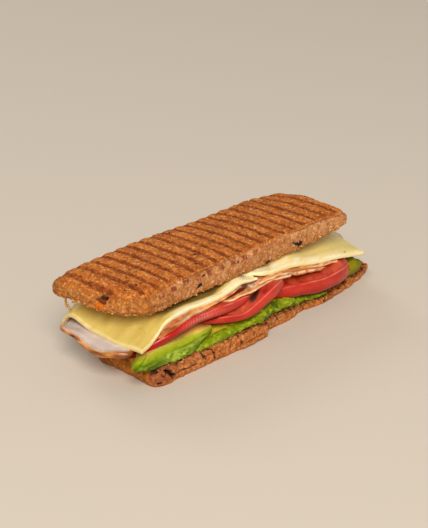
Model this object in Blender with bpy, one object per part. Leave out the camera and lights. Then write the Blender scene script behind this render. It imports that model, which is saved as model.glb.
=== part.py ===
"""Grilled turkey sandwich: two halves of a pressed brown bread round cheese, turkey, tomato and avocado.

Sizes are in millimetres and become metres when a mesh is made. X runs along the bread, Y from the near
long side to the far one, Z up from the table. Each filling runs from the near side to the far side, and
each piece is laid on what is already in the heap, so that no two pieces touch.
"""
import math

import bmesh
import bpy
from mathutils import Vector, noise
from mathutils.bvhtree import BVHTree

# Driving dimensions
MM = 0.001
CLEARANCE = 0.35
EDGE_STEP = 1.5
LIFT_ROUNDS = 12
BREAD_LENGTH = 209.0
BREAD_WIDTH = 62.0
HEIGHT = 65.0
RIDGE_PITCH = 10.5
RIDGE_COUNT = 20
RIDGE_DEPTH = 1.3
LOWER_THICKNESS = [(-77.0, 13.2), (50.0, 13.0), (80.0, 11.6), (100.0, 9.8), (120.0, 7.2), (143.0, 3.6)]
UPPER_UNDERSIDE = [(-95.0, 47.2), (-70.0, 46.6), (84.0, 47.0), (112.0, 50.0)]
CHEESE_THICKNESS = 2.8
TURKEY_THICKNESS = [(-100.0, 1.7), (-80.0, 2.2), (-60.0, 3.2), (-36.0, 2.8), (-22.0, 1.9), (10.0, 2.0)]

# Places of the two bread halves, whose middles are not in line
LOWER_LEFT, LOWER_RIGHT = -77.0, 146.0
LOWER_NEAR = [(-77.0, -35.0), (-30.0, -35.6), (0.0, -36.8), (26.0, -37.2), (56.0, -34.8), (85.0, -31.8),
              (100.0, -29.8), (115.0, -27.4), (130.0, -24.4), (143.0, -21.0)]
LOWER_FAR = [(-77.0, 27.5), (-40.0, 29.5), (60.0, 29.0), (100.0, 24.0), (143.0, 10.0)]
UPPER_LEFT = -95.0
UPPER_RIGHT = UPPER_LEFT + BREAD_LENGTH
UPPER_NEAR = -28.5
UPPER_FAR = UPPER_NEAR + BREAD_WIDTH
FIRST_GROOVE = -92.0
GROOVE_SLANT = 0.085

# Where a layer's side profiles are measured
NEAR_SIDE, FAR_SIDE = -33.0, 33.0
NEAR_SHARE = 0.4

UP, DOWN = Vector((0.0, 0.0, 1.0)), Vector((0.0, 0.0, -1.0))
COLLECTION = "turkey_sandwich"
CUTTERS = "cutters"


def clamp(value, low=0.0, high=1.0):
    return max(low, min(high, value))


def ease(value):
    """Smooth step from 0 to 1."""
    t = clamp(value)
    return t * t * (3.0 - 2.0 * t)


def mix(a, b, t):
    return a + (b - a) * t


def wave(x, y, scale, seed):
    """Slow unevenness between about -1 and 1, with the given wavelength."""
    return noise.noise(Vector((x / scale, y / scale, seed * 7.31)))


def profile(knots, x):
    """Height at x on a smooth curve through the (x, height) knots, level beyond its ends."""
    if x <= knots[0][0]:
        return knots[0][1]
    if x >= knots[-1][0]:
        return knots[-1][1]
    index = next(i for i in range(len(knots) - 1) if x <= knots[i + 1][0])
    (x0, z0), (x1, z1) = knots[index], knots[index + 1]

    def slope(i):
        low, high = max(i - 1, 0), min(i + 1, len(knots) - 1)
        return (knots[high][1] - knots[low][1]) / (knots[high][0] - knots[low][0])

    span = x1 - x0
    t = (x - x0) / span
    start, end = slope(index) * span, slope(index + 1) * span
    return (z0 * (2 * t**3 - 3 * t**2 + 1) + start * (t**3 - 2 * t**2 + t)
            + z1 * (3 * t**2 - 2 * t**3) + end * (t**3 - t**2))


def layer(near, middle, far_share=0.6):
    """Height of a draped layer: its middle profile, bent to the near profile at the near side.

    At the far side it is bent by the given share of that.
    """
    def height(x, y):
        centre = profile(middle, x)
        droop = profile(near, x) - centre
        if y < 0.0:
            return centre + droop * (y / NEAR_SIDE) ** 2
        return centre + far_share * droop * (y / FAR_SIDE) ** 2
    return height


class Heap:
    """The pieces laid so far, which the next piece is lifted clear of."""

    def __init__(self):
        self.trees = []
        self.points = []

    def add(self, block):
        """Keep a laid piece, as a tree to look down on and as points along its edges."""
        bm = bmesh.new()
        bm.from_mesh(block.data)
        self.trees.append(BVHTree.FromBMesh(bm))
        for edge in bm.edges:
            start, end = (vert.co for vert in edge.verts)
            steps = max(1, round((end - start).length / (EDGE_STEP * MM)))
            self.points += [start.lerp(end, step / steps) for step in range(steps)]
        bm.free()

    def rest(self, x, y, wish):
        """The wished height, or just above what lies at this place."""
        height = wish
        for tree in self.trees:
            hit = tree.ray_cast(Vector((x * MM, y * MM, 1.0)), DOWN)[0]
            if hit:
                height = max(height, hit.z / MM + CLEARANCE)
        return height

    def lift(self, bm, columns):
        """Raise the columns of a new piece whose underside is too close to a point of the heap."""
        column_of = {vert: column for column in columns for vert in column}
        low = [min(vert.co[axis] for vert in bm.verts) for axis in range(2)]
        high = [max(vert.co[axis] for vert in bm.verts) for axis in range(2)]
        below = [p for p in self.points if low[0] < p.x < high[0] and low[1] < p.y < high[1]]
        for _ in range(LIFT_ROUNDS):
            bm.faces.ensure_lookup_table()
            tree = BVHTree.FromBMesh(bm)
            raises = {}
            for point in below:
                hit, _normal, index, _distance = tree.ray_cast(Vector((point.x, point.y, -1.0)), UP)
                need = point.z + CLEARANCE * MM - hit.z if hit else 0.0
                if need > 1e-6:
                    for vert in bm.faces[index].verts:
                        key = id(column_of[vert])
                        raises[key] = (column_of[vert], max(need, raises.get(key, (None, 0.0))[1]))
            if not raises:
                return
            for column, need in raises.values():
                for vert in column:
                    vert.co.z += need


heap = Heap()


def make_material(name, color, roughness):
    material = bpy.data.materials.new(name)
    material.use_nodes = True
    shader = material.node_tree.nodes["Principled BSDF"]
    shader.inputs["Base Color"].default_value = (*color, 1.0)
    shader.inputs["Roughness"].default_value = roughness
    return material


def make_block(name, cells, place, material):
    """A closed solid: a cube cut into cells, whose points the place function moves."""
    bm = bmesh.new()
    bmesh.ops.create_cube(bm, size=2.0)
    for axis, count in enumerate(cells):
        along = [e for e in bm.edges if abs(e.verts[0].co[axis] - e.verts[1].co[axis]) > 1.0]
        bmesh.ops.subdivide_edges(bm, edges=along, cuts=count - 1)
    columns = {}
    for vert in bm.verts:
        u, v, w = vert.co
        columns.setdefault((round(u, 4), round(v, 4)), []).append(vert)
        vert.co = Vector(place(u, v, w)) * MM
    bmesh.ops.triangulate(bm, faces=bm.faces)
    heap.lift(bm, list(columns.values()))
    bmesh.ops.recalc_face_normals(bm, faces=bm.faces)
    mesh = bpy.data.meshes.new(name)
    bm.to_mesh(mesh)
    bm.free()
    mesh.materials.append(material)
    mesh.shade_smooth()
    mesh.set_sharp_from_angle(angle=math.radians(40.0))
    block = bpy.data.objects.new(name, mesh)
    bpy.data.collections[COLLECTION].objects.link(block)
    heap.add(block)
    return block


def rounded_rectangle(x, y, half_x, half_y, radii):
    """Pull a point of a rectangle inwards so that its corners are round. Radii by (right, far)."""
    radius = radii[x > 0.0, y > 0.0]
    a = (abs(x) - (half_x - radius)) / radius
    b = (abs(y) - (half_y - radius)) / radius
    if a <= 0.0 or b <= 0.0:
        return x, y
    round_a = a * math.sqrt(1.0 - b * b / 2.0)
    round_b = b * math.sqrt(1.0 - a * a / 2.0)
    return (math.copysign(half_x - radius + radius * round_a, x),
            math.copysign(half_y - radius + radius * round_b, y))


def oval(u, v, power):
    """Map the square of (u, v) to a squarish oval that fills it."""
    edge = max(abs(u), abs(v))
    if edge < 1e-6:
        return 0.0, 0.0
    a, b = abs(u) / edge, abs(v) / edge
    pull = mix(1.0, (a**power + b**power) ** (-1.0 / power), edge**2)
    return u * pull, v * pull


def edge_of(u, v):
    return max(abs(u), abs(v))


# Lower half of the bread

def lower_plan(u, v, swell):
    """The outline follows a near and a far line, with round corners between them."""
    middle_x, half_x, half_y = (LOWER_LEFT + LOWER_RIGHT) / 2, (LOWER_RIGHT - LOWER_LEFT) / 2, 33.0
    radii = {(False, False): 6.0, (False, True): 14.0, (True, False): 8.0, (True, True): 22.0}
    x, y = rounded_rectangle(u * half_x, v * half_y, half_x, half_y, radii)
    x = middle_x + x * (1.0 + swell / half_x)
    across = (y * (1.0 + swell / half_y) / half_y + 1.0) / 2.0
    return x, mix(profile(LOWER_NEAR, x), profile(LOWER_FAR, x), across)


def lower_top(x, y):
    """Upper face: nearly level, thinner towards its right end."""
    return profile(LOWER_THICKNESS, x) + 0.5 * wave(x, y, 16.0, 1)


def place_lower(u, v, w):
    swell = 0.0
    if edge_of(u, v) > 0.999:
        crag = 0.7 * wave(u * 110.0, v * 33.0 + w * 9.0, 11.0, 2) if abs(w) < 0.99 else -0.4
        swell = 0.5 * (1.0 - w * w) + crag
    x, y = lower_plan(u, v, swell)
    lift = 1.6 * clamp((x - 118.0) / 25.0) ** 2
    return x, y, mix(lift, lower_top(x, y) + lift, (w + 1.0) / 2.0)


def cut_crack(bread, name, x, z, length, width, angle):
    """A crack in the near wall: a thin wedge, turned in the wall's plane, is cut out of it."""
    bm = bmesh.new()
    bmesh.ops.create_cone(bm, segments=4, radius1=width * MM, radius2=0.2 * width * MM, depth=length * MM,
                          cap_ends=True)
    mesh = bpy.data.meshes.new(name)
    bm.to_mesh(mesh)
    bm.free()
    cutter = bpy.data.objects.new(name, mesh)
    cutter.scale = (1.0, 2.6, 1.0)
    cutter.rotation_euler = (0.0, math.radians(angle), 0.0)
    cutter.location = (x * MM, (profile(LOWER_NEAR, x) - 0.3) * MM, z * MM)
    cutter.hide_render = True
    cutter.display_type = "WIRE"
    bpy.data.collections[CUTTERS].objects.link(cutter)
    cut = bread.modifiers.new(name, "BOOLEAN")
    cut.operation = "DIFFERENCE"
    cut.solver = "EXACT"
    cut.object = cutter


def make_lower_bread(crust):
    bread = make_block("bread_bottom", (38, 9, 3), place_lower, crust)
    cut_crack(bread, "crack_corner", -66.5, 8.2, 13.0, 1.1, -42.0)
    cut_crack(bread, "crack_middle", -29.6, 4.8, 8.0, 0.8, -32.0)
    cut_crack(bread, "crack_upright", 25.0, 6.8, 8.5, 0.8, 4.0)
    cut_crack(bread, "crack_end", 83.0, 6.0, 9.0, 1.0, -28.0)


# Upper half of the bread

def ridge(x, y):
    """0 on a ridge, 1 at the bottom of a groove pressed by the grill."""
    along = (x - FIRST_GROOVE - GROOVE_SLANT * (UPPER_FAR - 2.0 - y)) / RIDGE_PITCH
    if along < -0.3 or along > RIDGE_COUNT - 0.7:
        return 0.0
    return ease(1.0 - abs(along - round(along)) / 0.28)


def ridge_columns(u, count):
    """Columns of points at each groove's bottom and both its shoulders."""
    index = round((u + 1.0) / 2.0 * count)
    start = FIRST_GROOVE - RIDGE_PITCH * 0.24
    step = (0.0, 0.24, 0.48)[index % 3]
    x = start + RIDGE_PITCH * (index // 3 + step)
    return clamp(x, UPPER_LEFT, UPPER_RIGHT)


def upper_plan(x, v, swell):
    middle_x, middle_y = (UPPER_LEFT + UPPER_RIGHT) / 2, (UPPER_NEAR + UPPER_FAR) / 2
    half_x, half_y = BREAD_LENGTH / 2, BREAD_WIDTH / 2
    radii = {(False, False): 25.0, (False, True): 8.0, (True, False): 9.0, (True, True): 20.0}
    x, y = rounded_rectangle(x - middle_x, v * half_y, half_x, half_y, radii)
    end = clamp(-x / half_x - 0.8, 0.0, 0.2) * 5.0
    skew = -6.5 * end * y / half_y + 1.5 * clamp(x / half_x)
    return middle_x + x * (1.0 + swell / half_x) + skew, middle_y + y * (1.0 + swell / half_y)


def upper_top(x, y):
    """Pressed face: crowned towards its left end, turned down at both ends."""
    across = (y - (UPPER_NEAR + UPPER_FAR) / 2) / (BREAD_WIDTH / 2)
    crown = mix(3.2, 1.4, ease((x + 60.0) / 120.0)) * (1.0 - clamp(across * across))
    left = mix(8.0, 2.5, ease((y + 12.0) / 40.0)) * clamp((-74.0 - x) / 21.0) ** 2
    right = 3.2 * clamp((x - 98.0) / 16.0) ** 2
    return HEIGHT - 3.4 + crown - left - right


def place_upper(cells):
    def place(u, v, w):
        column = ridge_columns(u, cells[0])
        at_wall = edge_of(u, v) > 0.999
        swell = 2.2 * (1.0 - w * w) - 2.0 + 0.5 * wave(column, v * 31.0 + w * 8.0, 13.0, 3)
        x, y = upper_plan(column, v, swell if at_wall else -0.6)
        top = upper_top(x, y) - RIDGE_DEPTH * ridge(x, y)
        under = heap.rest(x, y, profile(UPPER_UNDERSIDE, x))
        return x, y, mix(under, top, (w + 1.0) / 2.0)
    return place


def make_upper_bread(crust):
    cells = (3 * RIDGE_COUNT, 9, 3)
    make_block("bread_top", cells, place_upper(cells), crust)


# Slices between the halves

def make_slice(name, cells, plan, wish, thickness, bulge, material):
    """A slice with a plan outline, laid at its wished height on the heap."""
    def place(u, v, w):
        at_rim = edge_of(u, v) > 0.999
        x, y = plan(u, v)
        if at_rim:
            out = Vector((u, v)).normalized() * bulge * (1.0 - w * w)
            x, y = x + out.x, y + out.y
        under = heap.rest(x, y, wish(x, y))
        return x, y, under + thickness(x, y) * (w + 1.0) / 2.0
    return make_block(name, cells, place, material)


def oval_plan(left, right, near, far, power, seed):
    """An uneven oval. Left and right are pairs: where a side lies at the near end and further in."""
    def plan(u, v):
        a, b = oval(u, v, power)
        uneven = 1.0 + 0.05 * edge_of(u, v) * wave(u * 2.0, v * 2.0, 1.1, seed)
        across = (b * uneven + 1.0) / 2.0
        inward = ease(across / NEAR_SHARE)
        x = mix(mix(*left, inward), mix(*right, inward), (a * uneven + 1.0) / 2.0)
        return x, mix(near, far, across)
    return plan


def even(amount):
    return lambda x, y: amount


# Avocado: name, squareness, left, right, near, far, thickness at the near side and in the middle

AVOCADOS = [
    ("avocado_2", 6.0, (-46.0, -38.0), (32.0, 28.0), -36.6, 28.0,
     [(-43, 1.6), (-36, 4.2), (-24, 5.6), (8, 4.8), (20, 5.8), (30, 8.5)],
     [(-43, 4.0), (-25, 9.0), (30, 9.0)]),
    ("avocado_4", 6.0, (51.5, 53.0), (84.0, 83.0), -34.0, 26.0,
     [(50, 4.4), (62, 2.4), (78, 1.2)], [(50, 8.6)]),
    ("avocado_3", 6.0, (33.5, 29.5), (50.5, 52.0), -35.8, 27.5,
     [(31, 8.6), (50, 6.8)], [(31, 9.0)]),
    ("avocado_5", 3.0, (103.0, 84.5), (129.0, 122.0), -30.0, 24.0,
     [(83, 5.0), (103, 3.0), (108, 5.5), (113, 9.0), (120, 11.0), (127, 9.0)],
     [(84, 9.8), (108, 10.4), (118, 13.0)]),
    ("avocado_1", 7.0, (-97.5, -73.0), (-23.0, -26.0), -35.8, 29.0,
     [(-97, 1.6), (-90, 6.2), (-80, 8.6), (-60, 10.0), (-40, 7.0), (-24, 2.2)],
     [(-97, 3.0), (-72, 9.5), (-60, 11.0), (-40, 9.5), (-24, 4.0)]),
]
AVOCADO_UNDER = [(-98.0, 18.8), (-88.0, 16.6), (-80.0, 14.9), (-74.0, 13.8), (-66.0, 13.2), (100.0, 10.0)]


def make_avocados(flesh):
    for number, (name, power, left, right, near, far, rim, middle) in enumerate(AVOCADOS):
        def thickness(x, y, rim=rim, middle=middle):
            return mix(profile(middle, x), profile(rim, x), clamp(abs(y) / abs(NEAR_SIDE)) ** 2)

        def wish(x, y):
            return profile(AVOCADO_UNDER, x)

        cells = (max(3, round((right[0] - left[0]) / 6.2)), 7, 2)
        plan = oval_plan(left, right, near, far, power, 10 + number)
        make_slice(name, cells, plan, wish, thickness, 1.2, flesh)


# Tomato: name, left, right, near, far, thickness along X, under-profile at the near side and in the middle

TOMATOES = [
    ("tomato_3", (25.0, 33.0), (124.0, 115.0), -36.0, 33.0,
     [(29, 2.0), (36, 4.2), (44, 7.8), (55, 9.2), (100, 9.4)],
     [(29, 25.2), (47, 19.8), (67, 15.8), (87, 14.2), (103, 15.4), (112, 18.4), (120, 21.0)],
     [(29, 24.0), (70, 22.4)]),
    ("tomato_2", (-47.0, -34.0), (49.0, 40.0), -36.6, 33.5,
     [(-38, 1.5), (-22, 4.5), (8, 5.2), (20, 5.6), (32, 4.0), (42, 2.0)],
     [(-36, 29.2), (-23, 25.3), (-3, 20.6), (7, 19.8), (17, 21.8), (27, 25.3), (38, 30.0)],
     [(-36, 26.5), (0, 24.0), (22, 26.0), (34, 30.0)]),
    ("tomato_1", (-93.0, -76.0), (24.0, 9.0), -35.6, 34.0,
     [(-90, 1.2), (-82, 2.4), (-75, 5.0), (-66, 6.2), (-20, 6.8), (8, 5.0), (22, 1.5)],
     [(-88, 25.2), (-80, 25.6), (-70, 27.2), (-58, 29.2), (-40, 31.0), (-22, 29.8), (8, 28.6)],
     [(-88, 25.0), (-60, 28.0), (8, 29.8)]),
]


def make_tomatoes(flesh):
    for number, (name, left, right, near, far, thick, at_near, middle) in enumerate(TOMATOES):
        def thickness(x, y, thick=thick):
            return profile(thick, x)

        plan = oval_plan(left, right, near, far, 2.5, 20 + number)
        make_slice(name, (12, 10, 2), plan, layer(at_near, middle), thickness, 1.0, flesh)


# Turkey: name, left, right, near, far, under-profile at the near side and in the middle

TURKEYS = [
    ("turkey_4", (46.0, 48.0), (129.0, 129.0), -31.0, 34.0,
     [(46, 30.6), (62, 27.6), (77, 25.0), (92, 24.8), (110, 24.6), (130, 22.6)],
     [(46, 33.4), (80, 32.8), (105, 30.4), (120, 27.4), (130, 25.4)]),
    ("turkey_2", (-30.0, -28.0), (78.0, 76.0), -33.0, 33.0,
     [(-30, 37.2), (-8, 35.4), (12, 33.8), (32, 35.5), (46, 34.2), (62, 31.0), (78, 28.4)],
     [(-30, 36.8), (46, 36.4), (78, 36.0)]),
    ("turkey_3", (10.0, 12.0), (95.0, 93.0), -32.0, 34.0,
     [(10, 38.6), (22, 38.2), (40, 36.8), (62, 32.8), (78, 30.2), (95, 27.4)],
     [(10, 39.6), (80, 39.0), (95, 37.0)]),
    ("turkey_1", (-98.0, -100.5), (8.0, 7.0), -32.5, 39.0,
     [(-98, 25.6), (-90, 23.0), (-84, 23.4), (-77, 27.0), (-70, 31.6), (-62, 35.2), (-50, 37.2), (9, 39.0)],
     [(-98, 19.6), (-90, 23.6), (-84, 27.6), (-76, 32.0), (-62, 36.2), (-30, 38.8), (9, 39.4)]),
]


def make_turkeys(meat):
    def thickness(x, y):
        return profile(TURKEY_THICKNESS, x)

    for number, (name, left, right, near, far, at_near, middle) in enumerate(TURKEYS):
        plan = oval_plan(left, right, near, far, 3.6, 30 + number)
        make_slice(name, (16, 9, 1), plan, layer(at_near, middle), thickness, 0.0, meat)


# Cheese: name, left, right, near, far, under-profile at the near side and in the middle

CHEESES = [
    ("cheese_2", -3.0, 124.5, -31.5, 36.0,
     [(-3, 41.8), (12, 40.8), (32, 39.4), (52, 36.8), (72, 32.6), (92, 29.4), (112, 26.4), (124, 25.0)],
     [(-3, 42.6), (60, 42.4), (88, 40.8), (106, 34.6), (118, 30.4), (124, 28.4)]),
    ("cheese_1", -89.0, 14.0, -31.0, 38.0,
     [(-90, 24.6), (-86, 25.6), (-80, 29.0), (-74, 33.6), (-69, 37.2), (-62, 39.8), (-50, 41.0), (-8, 42.2),
      (14, 44.6)],
     [(-90, 25.0), (-84, 30.2), (-76, 35.4), (-64, 40.4), (-48, 42.4), (14, 44.6)]),
]


def cheese_plan(left, right, near, far, seed):
    """A nearly straight-sided slice with square corners, whose near left corner is pulled in."""
    def plan(u, v):
        y = mix(near, far, (v + 1.0) / 2.0)
        slant = 3.6 * ease((-8.0 - y) / 24.0) * (1.0 - u) / 2.0
        x = mix(left, right, (u + 1.0) / 2.0) + slant + 0.8 * v * wave(v * 20.0, u, 18.0, seed)
        y += 0.8 * v * wave(x, v, 24.0, seed + 1)
        return x, y
    return plan


def left_fold(x, y):
    """Height added where the left end of the cheese stands in a fold before its far corner hangs down."""
    end = ease((-62.0 - x) / 26.0)
    return end * (5.5 * math.exp(-((y - 25.0) / 9.0) ** 2) - 4.0 * ease((y - 29.0) / 8.0))


def make_cheeses(curd):
    for number, (name, left, right, near, far, at_near, middle) in enumerate(CHEESES):
        draped = layer(at_near, middle)

        def wish(x, y, draped=draped):
            return draped(x, y) + left_fold(x, y)

        plan = cheese_plan(left, right, near, far, 40 + 2 * number)
        cells = (round((right - left) / 6.6), 10, 1)
        make_slice(name, cells, plan, wish, even(CHEESE_THICKNESS), 0.0, curd)


def centre_on_base():
    """Move every mesh so that the middle of the base of the whole is the origin."""
    meshes = [o for o in bpy.data.collections[COLLECTION].objects if o.type == "MESH"]
    points = [v.co for o in meshes for v in o.data.vertices]
    low = Vector(min(p[axis] for p in points) for axis in range(3))
    high = Vector(max(p[axis] for p in points) for axis in range(3))
    shift = Vector((-(low.x + high.x) / 2, -(low.y + high.y) / 2, -low.z))
    for mesh_object in meshes:
        for vert in mesh_object.data.vertices:
            vert.co += shift
    for cutter in bpy.data.collections[CUTTERS].objects:
        cutter.location += shift


def main():
    for leftover in list(bpy.data.objects):
        bpy.data.objects.remove(leftover)
    for name in (COLLECTION, CUTTERS):
        bpy.context.scene.collection.children.link(bpy.data.collections.new(name))
    make_lower_bread(make_material("crust_lower", (0.30, 0.13, 0.05), 0.85))
    make_avocados(make_material("avocado_flesh", (0.42, 0.52, 0.07), 0.45))
    make_tomatoes(make_material("tomato_flesh", (0.55, 0.05, 0.02), 0.3))
    make_turkeys(make_material("turkey_meat", (0.62, 0.45, 0.36), 0.5))
    make_cheeses(make_material("cheese", (0.80, 0.62, 0.22), 0.4))
    make_upper_bread(make_material("crust_upper", (0.36, 0.15, 0.05), 0.85))
    centre_on_base()


main()
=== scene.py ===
"""Looks of the grilled turkey sandwich: every solid is made again finely, with its own surface.

Lengths are in millimetres in the frame that the solids were drawn in: X along the bread, Y away from
the side that shows, Z up from the table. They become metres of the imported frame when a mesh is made.
"""
import itertools
import math

import bmesh
import bpy
import numpy as np
from mathutils import Matrix, Vector, noise
from mathutils.bvhtree import BVHTree


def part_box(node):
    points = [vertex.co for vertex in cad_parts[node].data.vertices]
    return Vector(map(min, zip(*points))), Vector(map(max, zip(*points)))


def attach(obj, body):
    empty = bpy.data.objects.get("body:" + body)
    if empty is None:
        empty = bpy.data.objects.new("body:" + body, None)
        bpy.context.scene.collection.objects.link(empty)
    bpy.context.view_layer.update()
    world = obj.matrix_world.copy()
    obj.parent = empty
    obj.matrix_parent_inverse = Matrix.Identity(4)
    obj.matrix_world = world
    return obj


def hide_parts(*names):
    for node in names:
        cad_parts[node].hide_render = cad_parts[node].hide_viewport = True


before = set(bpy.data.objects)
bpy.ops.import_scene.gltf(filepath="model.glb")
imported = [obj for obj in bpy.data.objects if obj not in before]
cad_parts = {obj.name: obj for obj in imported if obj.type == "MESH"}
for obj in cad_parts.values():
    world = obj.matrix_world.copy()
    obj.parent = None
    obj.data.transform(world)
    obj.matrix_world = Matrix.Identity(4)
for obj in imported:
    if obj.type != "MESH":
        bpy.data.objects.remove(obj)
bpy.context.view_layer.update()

MM = 0.001

# Sizes and places that the solids have too
BREAD_LENGTH, BREAD_WIDTH, HEIGHT = 209, 62, 65
RIDGE_PITCH, RIDGE_COUNT = 10.5, 20
LOWER_THICKNESS = [(-77, 13.2), (50, 13), (80, 11.6), (100, 9.8), (120, 7.2), (143, 3.6)]
UPPER_UNDERSIDE = [(-95, 47.2), (-70, 46.6), (84, 47), (112, 50)]
LOWER_LEFT, LOWER_RIGHT = -77, 146
LOWER_NEAR = [(-77, -35), (-30, -35.6), (0, -36.8), (26, -37.2), (56, -34.8), (85, -31.8), (100, -29.8),
              (115, -27.4), (130, -24.4), (143, -21)]
LOWER_FAR = [(-77, 27.5), (-40, 29.5), (60, 29), (100, 24), (143, 10)]
UPPER_LEFT = -95
UPPER_RIGHT = UPPER_LEFT + BREAD_LENGTH
UPPER_NEAR = -28.5
UPPER_FAR = UPPER_NEAR + BREAD_WIDTH
FIRST_GROOVE, GROOVE_SLANT = -92, 0.085
NEAR_SHARE = 0.4

TOP, WALL, UNDER = range(3)


# Curves and noise, on whole arrays

def clamp(value, low=0, high=1):
    return np.clip(value, low, high)


def ease(value):
    """A smooth step between 0 and 1."""
    t = clamp(value)
    return t * t * (3 - 2 * t)


def slope(value, start, width):
    """0 up to the start and 1 from a width beyond it. A negative width counts towards lower values."""
    return clamp((value - start) / width)


def rise(value, start, width):
    """The same, with smooth ends."""
    return ease((value - start) / width)


def mix(a, b, t):
    return a + (b - a) * t


def bump_at(value, centre, width):
    """A round bump of height 1 at the centre."""
    return np.exp(-((value - centre) / width) ** 2)


def profile(knots, x):
    """Height at x on a smooth curve through the (x, height) knots, level beyond its ends."""
    xs, zs = np.array(knots, float).T
    x = clamp(np.asarray(x, float), xs[0], xs[-1])
    i = clamp(np.searchsorted(xs, x, side="left") - 1, 0, len(xs) - 2).astype(int)
    places = np.arange(len(xs))
    low, high = np.maximum(places - 1, 0), np.minimum(places + 1, len(xs) - 1)
    slope = (zs[high] - zs[low]) / (xs[high] - xs[low])
    span = xs[i + 1] - xs[i]
    t = (x - xs[i]) / span
    return (zs[i] * (2 * t**3 - 3 * t**2 + 1) + slope[i] * span * (t**3 - 2 * t**2 + t)
            + zs[i + 1] * (3 * t**2 - 2 * t**3) + slope[i + 1] * span * (t**3 - t**2))


@np.vectorize
def wave(x, y, scale, seed):
    """The slow unevenness that the solids have. A seed moves it to another layer of the noise."""
    return noise.noise(Vector((x / scale, y / scale, seed * 7.31)))


def lattice(cell, seed):
    """A number between 0 and 1 for each cell, mixed from its whole-number place by odd multipliers."""
    h = cell[..., 0] * 73856093 ^ cell[..., 1] * 19349663 ^ cell[..., 2] * 83492791 ^ (seed + 1) * 26544357
    h = ((h ^ (h >> 15)) * 2246822519) & 0xFFFFFFFF
    h = ((h ^ (h >> 13)) * 3266489917) & 0xFFFFFFFF
    return ((h ^ (h >> 16)) & 0xFFFFFF) / 0xFFFFFF


def grain(points, size, seed):
    """Smooth noise from -1 to 1 whose lumps are about size across."""
    place = points / np.asarray(size)
    cell = np.floor(place).astype(np.int64)
    part = place - cell
    part = part * part * (3 - 2 * part)
    total = np.zeros(len(points))
    for corner in itertools.product((0, 1), repeat=3):
        weight = np.ones(len(points))
        for axis in range(3):
            weight *= part[:, axis] if corner[axis] else 1 - part[:, axis]
        total += weight * lattice(cell + np.array(corner), seed)
    return 2 * total - 1


def crumble(points, size, seed, octaves=3):
    """Noise of several sizes together, from about -1 to 1."""
    shares = [0.5**n for n in range(octaves)]
    total = sum(share * grain(points, np.asarray(size) * share, seed + n) for n, share in enumerate(shares))
    return total / sum(shares) * 1.4


def spots(points, size, seed):
    """Distance to the nearest of some scattered centres, in shares of size, and that centre's own number."""
    place = points / np.asarray(size)
    cell = np.floor(place).astype(np.int64)
    best, own = np.full(len(points), 9), np.zeros(len(points))
    for step in itertools.product((-1, 0, 1), repeat=3):
        near = cell + np.array(step)
        centre = near + np.stack([lattice(near, seed + axis) for axis in range(3)], -1)
        distance = ((centre - place) ** 2).sum(-1)
        closer = distance < best
        best = np.where(closer, distance, best)
        own = np.where(closer, lattice(near, seed + 7), own)
    return np.sqrt(best), own


def pits(points, size, seed, share):
    """0 on the surface, 1 in the middle of a pit. Only the given share of the centres is a pit."""
    distance, own = spots(points, size, seed)
    return ease(1 - distance / (0.2 + 0.45 * own / share)) * (own < share)


def srgb(red, green, blue):
    """A colour as seen on a screen, 0 to 255, as linear numbers."""
    c = np.array([red, green, blue]) / 255
    return np.where(c <= 0.04045, c / 12.92, ((c + 0.055) / 1.055) ** 2.4)


def blend(a, b, t):
    """Mix linear colours by a number for each vertex."""
    return a + (b - a) * np.reshape(t, (-1, 1))


def paint(colour, *coats):
    """Lay coats over a colour. Each is a screen colour, or linear colours for the points, and its share."""
    for coat, share in coats:
        colour = blend(colour, srgb(*coat) if isinstance(coat, tuple) else coat, share)
    return colour


def cloud(points, first, second, middle, swing, size, seed, octaves=3):
    """Two screen colours in soft patches: the second one's share swings about its middle."""
    return blend(srgb(*first), srgb(*second), middle + swing * crumble(points, size, seed, octaves))


# Outlines that the solids have too

def rounded_rectangle(x, y, half_x, half_y, radii):
    """Pull the points of a rectangle inwards so that its corners are round. Radii by right, far."""
    right, far = (x > 0).astype(int), (y > 0).astype(int)
    radius = np.array(radii)[right, far]
    a = (abs(x) - (half_x - radius)) / radius
    b = (abs(y) - (half_y - radius)) / radius
    corner = (a > 0) & (b > 0)
    a_in, b_in = np.where(corner, a, 0), np.where(corner, b, 0)
    round_x = half_x - radius + radius * a_in * np.sqrt(1 - b_in**2 / 2)
    round_y = half_y - radius + radius * b_in * np.sqrt(1 - a_in**2 / 2)
    return np.where(corner, np.copysign(round_x, x), x), np.where(corner, np.copysign(round_y, y), y)


def oval(u, v, power):
    edge = np.maximum(np.maximum(abs(u), abs(v)), 1e-6)
    length = np.maximum((abs(u) / edge)**power + (abs(v) / edge)**power, 1e-6)
    pull = mix(1, length ** (-1 / power), edge**2)
    return u * pull, v * pull


def oval_plan(left, right, near, far, power, seed):
    """The plan of an oval slice, and its spans. Left and right are given at the near and at the far side."""
    def plan(u, v, swell):
        a, b = oval(u, v, power)
        uneven = 1 + 0.05 * np.maximum(abs(u), abs(v)) * wave(u * 2, v * 2, 1.1, seed)
        across = (b * uneven + 1) / 2
        inward = ease(across / NEAR_SHARE)
        x0, x1 = mix(*left, inward), mix(*right, inward)
        x = mix(x0, x1, (a * uneven + 1) / 2)
        y = mix(near, far, across)
        return x + a * swell, y + b * swell
    return plan, (max(right) - min(left), far - near)


def cheese_plan(left, right, near, far, seed):
    def plan(u, v, swell):
        y = mix(near, far, (v + 1) / 2)
        slant = 3.6 * rise(y, -8, -24) * (1 - u) / 2
        x = mix(left, right, (u + 1) / 2) + slant + 0.8 * v * wave(v * 20, u, 18, seed)
        y = y + 0.8 * v * wave(x, v, 24, seed + 1)
        return x + u * swell, y + v * swell
    return plan


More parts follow.
